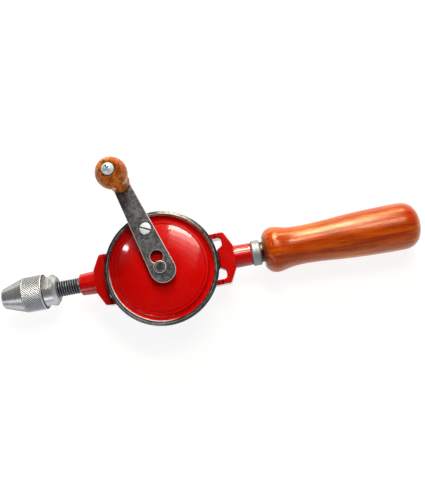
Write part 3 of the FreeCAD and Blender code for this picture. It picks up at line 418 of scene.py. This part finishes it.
def threaded_spindle():
    """The spindle with its real thread: 60 degree flanks, flat crests, run out at both ends."""
    low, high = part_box("spindle")
    crest = (high.z - low.z) / 2
    thread_end = AXLE.x - 62.3 * MM
    journal_end = AXLE.x - 39.5 * MM
    seat_end = AXLE.x - 24.0 * MM
    journal, seat, tail = 5.0 * MM, 4.5 * MM, 3.8 * MM  # radii behind the thread
    around, per_pitch, start_rows = 96, 14, 6
    turn = np.linspace(0, 1, around, endpoint=False)
    rows = round((thread_end - low.x) / THREAD_PITCH * per_pitch)
    rings = []
    for i in range(rows + 1):
        x = low.x + (thread_end - low.x) * i / rows
        wave = saw(x / THREAD_PITCH - turn)
        cut = np.clip((0.86 - wave) / 0.72, 0, 1)
        run_out = min(1.0, 0.35 + i / per_pitch, (rows - i) / (0.8 * per_pitch))
        start = max(0.0, 1 - i / start_rows)  # the chamfer at the spindle's tip
        rings.append((x, crest - 0.9 * MM * start - THREAD_DEPTH * cut * run_out * (1 - start)))
    rings += [(thread_end, journal), (journal_end, journal), (journal_end, seat)]
    rings += [(seat_end, seat), (seat_end, tail), (high.x - 0.5 * MM, tail), (high.x, tail - 0.5 * MM)]
    return rings_about_spindle("threaded_spindle", rings, around, closed=False)


def dress(shader, *nodes):
    """Gives CAD nodes a material."""
    for name in nodes:
        NODES[name].data.materials.clear()
        NODES[name].data.materials.append(shader.material)


def stand_for(piece, shader, body, slot, *nodes):
    """Puts a piece made here in the place of CAD nodes."""
    piece.data.materials.append(shader.material)
    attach(piece, body)
    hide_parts(*nodes)


# ---------------------------------------------------------------- the drill

frame_enamel = paint("frame_enamel", (0.42, 0.0010, 0.0005), (0.64, 0.0024, 0.0012), 0.00018)
black_steel = dark_steel("blackened_steel", 0.03, 0.20)
# a darker copy of the blackened steel: painted shade round the axle's head
shaded_axle_steel = dark_steel("axle_steel", 0.015, 0.10)

# Tones dark and light, smoothest and roughest, how metallic, and a valley's radii.
gear_steel = turned_metal("gear_steel", (0.22, 0.22, 0.22), (0.42, 0.42, 0.42), 0.28, 0.45)
chuck_steel = turned_metal("chuck_steel", (0.40, 0.41, 0.43), (0.76, 0.78, 0.82), 0.22, 0.36, 0.8)
bronze = turned_metal("bronze", (0.16, 0.09, 0.035), (0.30, 0.18, 0.08), 0.25, 0.4)
knurl_r = (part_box("chuck_sleeve")[1].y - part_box("chuck_sleeve")[0].y) / 2
knurl_tones = (0.52, 0.54, 0.58), (0.80, 0.83, 0.89)
knurl_valley = (knurl_r - KNURL_DEPTH, knurl_r - 0.12 * MM)
knurl_steel = turned_metal("knurl_steel", *knurl_tones, 0.34, 0.5, 0.62, knurl_valley)
thread_tones = (0.24, 0.26, 0.30), (0.46, 0.49, 0.56)
thread_valley = (5.0 * MM, 6.1 * MM)
thread_steel = turned_metal("thread_steel", *thread_tones, 0.22, 0.40, 0.8, thread_valley)

slot_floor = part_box("crank_screw")[1].z - 0.6 * MM
screw_plate = bright_metal("screw_plate", (0.86, 0.92, 0.99), 0.30, 0.45, 0.4, floor_below=slot_floor)
pin_plate = bright_metal("pin_plate", (0.74, 0.86, 0.96), 0.24, 0.40, 0.5)
ferrule_plate = bright_metal("ferrule_plate", (0.38, 0.40, 0.43), 0.34, 0.55, 0.5, grain=240, depth=0.0004)

handle_tones = (0.26, 0.014, 0.001), (0.48, 0.028, 0.001), (0.66, 0.125, 0.005)
shoulder = (74.2 * MM, 76.5 * MM)  # painted shade on the end grain by the ferrule
handle_wood = varnished_wood("handle_wood", 0, AXLE, handle_tones, 0.5, painted_shade_end=shoulder)
knob_tones = (0.050, 0.007, 0.001), (0.34, 0.048, 0.004), (0.86, 0.250, 0.022)
knob_low, knob_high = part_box("crank_knob")
knob_wood = varnished_wood("knob_wood", 2, (knob_low + knob_high) / 2, knob_tones, 0.06, scale=1.3)

dress(frame_enamel, "main_frame")
dress(wheel_paint(), "gear_wheel")
dress(black_steel, "crank_arm")
dress(shaded_axle_steel, "wheel_axle")
dress(screw_plate, "crank_screw", "knob_washer")
dress(pin_plate, "knob_pin")
dress(ferrule_plate, "ferrule")
dress(handle_wood, "handle")
dress(knob_wood, "crank_knob")
dress(chuck_steel, "chuck_body", "jaw_1", "jaw_2", "jaw_3")
dress(gear_steel, "drive_pinion", "idler_pinion", "pinion_pin", "idler_axle")
dress(gear_steel, "thrust_ball", "handle_tang", "chuck_nut")
dress(bronze, "spindle_bush", "wheel_bush", "drive_washer", "idler_washer", "wheel_washer")

stand_for(knurled_sleeve(), knurl_steel, "sleeve", "chuck_steel", "chuck_sleeve")
stand_for(threaded_spindle(), thread_steel, "spindle", "thread_steel", "spindle")

# ---------------------------------------------------------------- floor, light and camera


def add_floor():
    reach = 40.0
    corners = [(-reach, -reach, 0), (reach, -reach, 0), (reach, reach, 0), (-reach, reach, 0)]
    floor = mesh_object("floor", corners, [(0, 1, 2, 3)], smooth=False)
    floor.data.materials.append(floor_paint().material)


def look(thing, at, target, up):
    """Points a camera or a light from one place to another, with up towards the top of its view."""
    forward = (target - at).normalized()
    right = forward.cross(up).normalized()
    top = right.cross(forward)
    thing.matrix_world = Matrix.Translation(at) @ Matrix((right, top, -forward)).transposed().to_4x4()


def add_softbox(name, azimuth, elevation, distance, width, height, power, tint):
    """A rectangular light aimed at the drill's middle. Azimuth is from +X, elevation from the floor."""
    light = bpy.data.lights.new(name, "AREA")
    light.shape = "RECTANGLE"
    light.size, light.size_y, light.energy, light.color = width, height, power, tint
    lamp = bpy.data.objects.new(name, light)
    bpy.context.scene.collection.objects.link(lamp)
    around, up = math.radians(azimuth), math.radians(elevation)
    way = Vector((math.cos(up) * math.cos(around), math.cos(up) * math.sin(around), math.sin(up)))
    look(lamp, AXLE + way * distance, AXLE, Vector((0, 0, 1)))


def add_camera():
    """A camera above the drill, turned so that the handle points up to the right."""
    lens = bpy.data.cameras.new("camera")
    lens.lens = 49.0
    lens.sensor_width = 36
    camera = bpy.data.objects.new("camera", lens)
    bpy.context.scene.collection.objects.link(camera)
    roll = math.radians(10.2)
    at = AXLE + Vector((49.9, -52.5, 493.5)) * MM
    target = AXLE + Vector((37.6, 8.7, 0)) * MM
    look(camera, at, target, Vector((math.sin(roll), math.cos(roll), 0)))
    bpy.context.scene.camera = camera


def add_world():
    """A pale studio: its ceiling is dark, and two of its walls are darker than the others."""
    world = bpy.data.worlds.new("studio")
    world.use_nodes = True
    tree = world.node_tree
    way = tree.nodes.new("ShaderNodeSeparateXYZ")
    tree.links.new(tree.nodes.new("ShaderNodeTexCoord").outputs["Generated"], way.inputs[0])
    # Along each axis of the way looked in: from, to, brightness at from, brightness at to.
    falls = {"Z": (0.30, 0.95, 0.5, 0.05), "X": (-0.7, -0.2, 0.12, 1.0), "Y": (-0.35, 0.15, 1.0, 0.35)}
    strength = None
    for axis, numbers in falls.items():
        fall = tree.nodes.new("ShaderNodeMapRange")
        fall.interpolation_type = "SMOOTHSTEP"
        for socket, number in zip(fall.inputs[1:5], numbers):
            socket.default_value = number
        tree.links.new(way.outputs[axis], fall.inputs[0])
        if strength is None:
            strength = fall.outputs[0]
            continue
        product = tree.nodes.new("ShaderNodeMath")
        product.operation = "MULTIPLY"
        tree.links.new(strength, product.inputs[0])
        tree.links.new(fall.outputs[0], product.inputs[1])
        strength = product.outputs[0]
    tree.links.new(strength, tree.nodes["Background"].inputs["Strength"])
    tree.nodes["Background"].inputs["Color"].default_value = (1, 1, 1, 1)
    bpy.context.scene.world = world


def add_lights():
    """Softboxes: where each stands (azimuth, elevation, distance), its width and height, watts and tint."""
    warm, amber, gold, neutral = (1, 0.96, 0.86), (1, 0.92, 0.76), (1, 0.90, 0.55), (1, 1, 1)
    for i, glow in enumerate((26, 8, 2.5, 0.9, 0.3)):  # the wheel's highlight, fading as it climbs
        add_softbox(f"key_{i}", 62 - 3 * i, 56 + 5 * i, 1.1, 0.46, 0.096, 0.139 * glow, warm)
    add_softbox("strip", 78, 32, 1.1, 0.22, 0.40, 10, amber)
    add_softbox("edge", 72, 12, 1.1, 0.55, 0.14, 4.2, gold)
    add_softbox("low", 228, 28, 1.1, 1.0, 0.26, 2.2, neutral)
    add_softbox("side", 139, 51, 1.0, 0.07, 0.10, 0.7, neutral)


add_floor()
add_world()
add_lights()
add_camera()
bpy.context.scene.view_settings.view_transform = "Standard"
